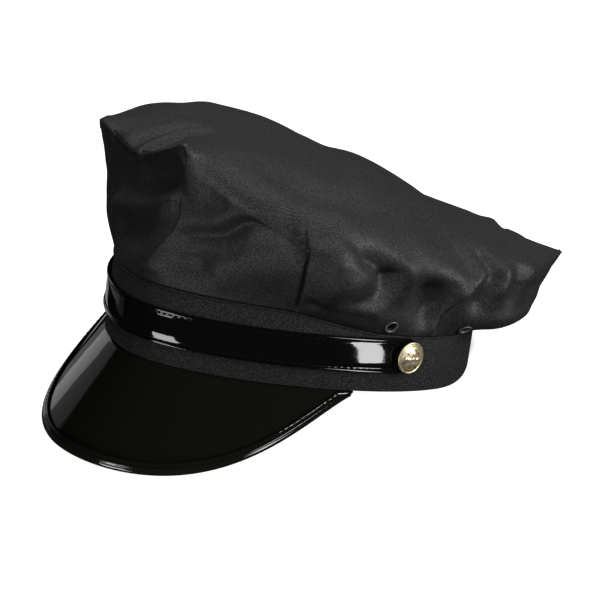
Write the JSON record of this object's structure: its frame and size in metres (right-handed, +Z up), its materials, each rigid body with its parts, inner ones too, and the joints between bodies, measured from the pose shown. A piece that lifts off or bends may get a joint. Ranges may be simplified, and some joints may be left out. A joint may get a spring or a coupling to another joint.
{
  "type": "chauffeur cap",
  "caption": "Black peaked chauffeur cap with a soft paneled cloth crown, patent visor and strap, gold side buttons and vent eyelets.",
  "frame": {"origin": "middle of the foot of the bounding box, on the surface that the cap rests on", "axes": "+Z up, visor towards -Y, wearer's left towards +X; the cap rests on the visor's tip and the back of its band, so the band's lower edge leans back 11.6 degrees"},
  "size_m": [0.2188, 0.266, 0.1364],
  "materials": {
    "crown_cloth": "soft sheen of a black satin twill",
    "band_cloth": "dull black twill",
    "peak_patent": "black patent gloss",
    "binding_patent": "black patent gloss",
    "strap_patent": "black patent gloss",
    "button_gold": "polished pale gold",
    "eyelet_metal": "dark satin metal"
  },
  "bodies": {
    "root": {"crown": "crown_cloth", "band": "band_cloth", "peak": "peak_patent", "peak_binding": "binding_patent", "chin_strap": "strap_patent", "button_left": "button_gold", "button_right": "button_gold", "eyelet_left_front": "eyelet_metal", "eyelet_left_back": "eyelet_metal", "eyelet_right_front": "eyelet_metal", "eyelet_right_back": "eyelet_metal"}
  },
  "joints": []
}
